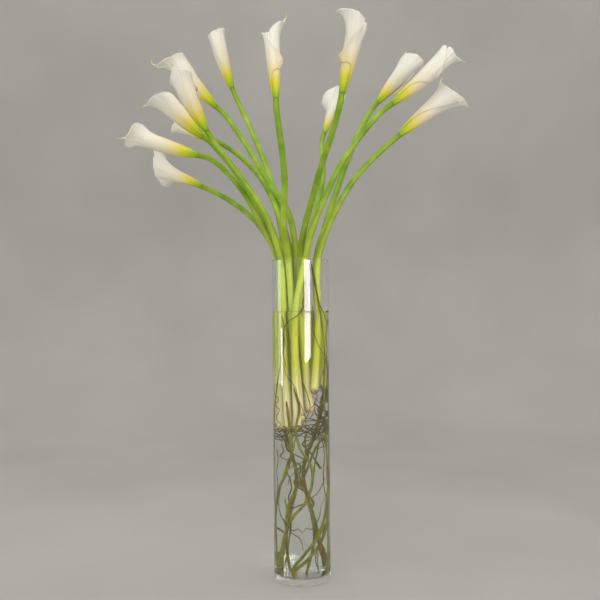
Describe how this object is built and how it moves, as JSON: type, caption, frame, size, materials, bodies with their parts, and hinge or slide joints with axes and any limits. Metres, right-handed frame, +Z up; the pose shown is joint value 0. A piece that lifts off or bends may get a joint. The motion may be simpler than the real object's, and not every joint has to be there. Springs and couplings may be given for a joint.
{
  "type": "calla lily arrangement in a glass cylinder vase",
  "caption": "Tall clear glass cylinder vase of water holding long-stemmed white calla lilies that fan out, with curly willow twigs inside the glass.",
  "frame": {"origin": "centre of the vase's underside, where it rests on a table", "axes": "+Z up along the vase's axis, -Y towards the viewer of the picture, +X to the viewer's right"},
  "size_m": [0.7618, 0.7025, 1.3197],
  "materials": {
    "glass": "clear polished glass",
    "water": "clear still water",
    "stem": "smooth waxy green stem",
    "spathe": "satin ivory petal, yellow-green at its base",
    "spadix": "matt grainy yellow",
    "willow": "satin olive-brown bark"
  },
  "bodies": {
    "root": {"vase": "glass", "water": "water", "calla_01_stem": "stem", "calla_01_spathe": "spathe", "calla_01_spadix": "spadix", "calla_02_stem": "stem", "calla_02_spathe": "spathe", "calla_02_spadix": "spadix", "calla_03_stem": "stem", "calla_03_spathe": "spathe", "calla_03_spadix": "spadix", "calla_04_stem": "stem", "calla_04_spathe": "spathe", "calla_04_spadix": "spadix", "calla_05_stem": "stem", "calla_05_spathe": "spathe", "calla_05_spadix": "spadix", "calla_06_stem": "stem", "calla_06_spathe": "spathe", "calla_06_spadix": "spadix", "calla_07_stem": "stem", "calla_07_spathe": "spathe", "calla_07_spadix": "spadix", "calla_08_stem": "stem", "calla_08_spathe": "spathe", "calla_08_spadix": "spadix", "calla_09_stem": "stem", "calla_09_spathe": "spathe", "calla_09_spadix": "spadix", "calla_10_stem": "stem", "calla_10_spathe": "spathe", "calla_10_spadix": "spadix", "calla_11_stem": "stem", "calla_11_spathe": "spathe", "calla_11_spadix": "spadix", "calla_12_stem": "stem", "calla_12_spathe": "spathe", "calla_12_spadix": "spadix", "calla_13_stem": "stem", "calla_13_spathe": "spathe", "calla_13_spadix": "spadix", "willow_twig_01": "willow", "willow_twig_02": "willow", "willow_twig_03": "willow", "willow_twig_04": "willow", "willow_twig_05": "willow", "willow_twig_06": "willow", "willow_twig_07": "willow", "willow_twig_08": "willow", "willow_twig_09": "willow", "willow_twig_10": "willow", "willow_twig_11": "willow", "willow_twig_12": "willow"}
  },
  "joints": []
}
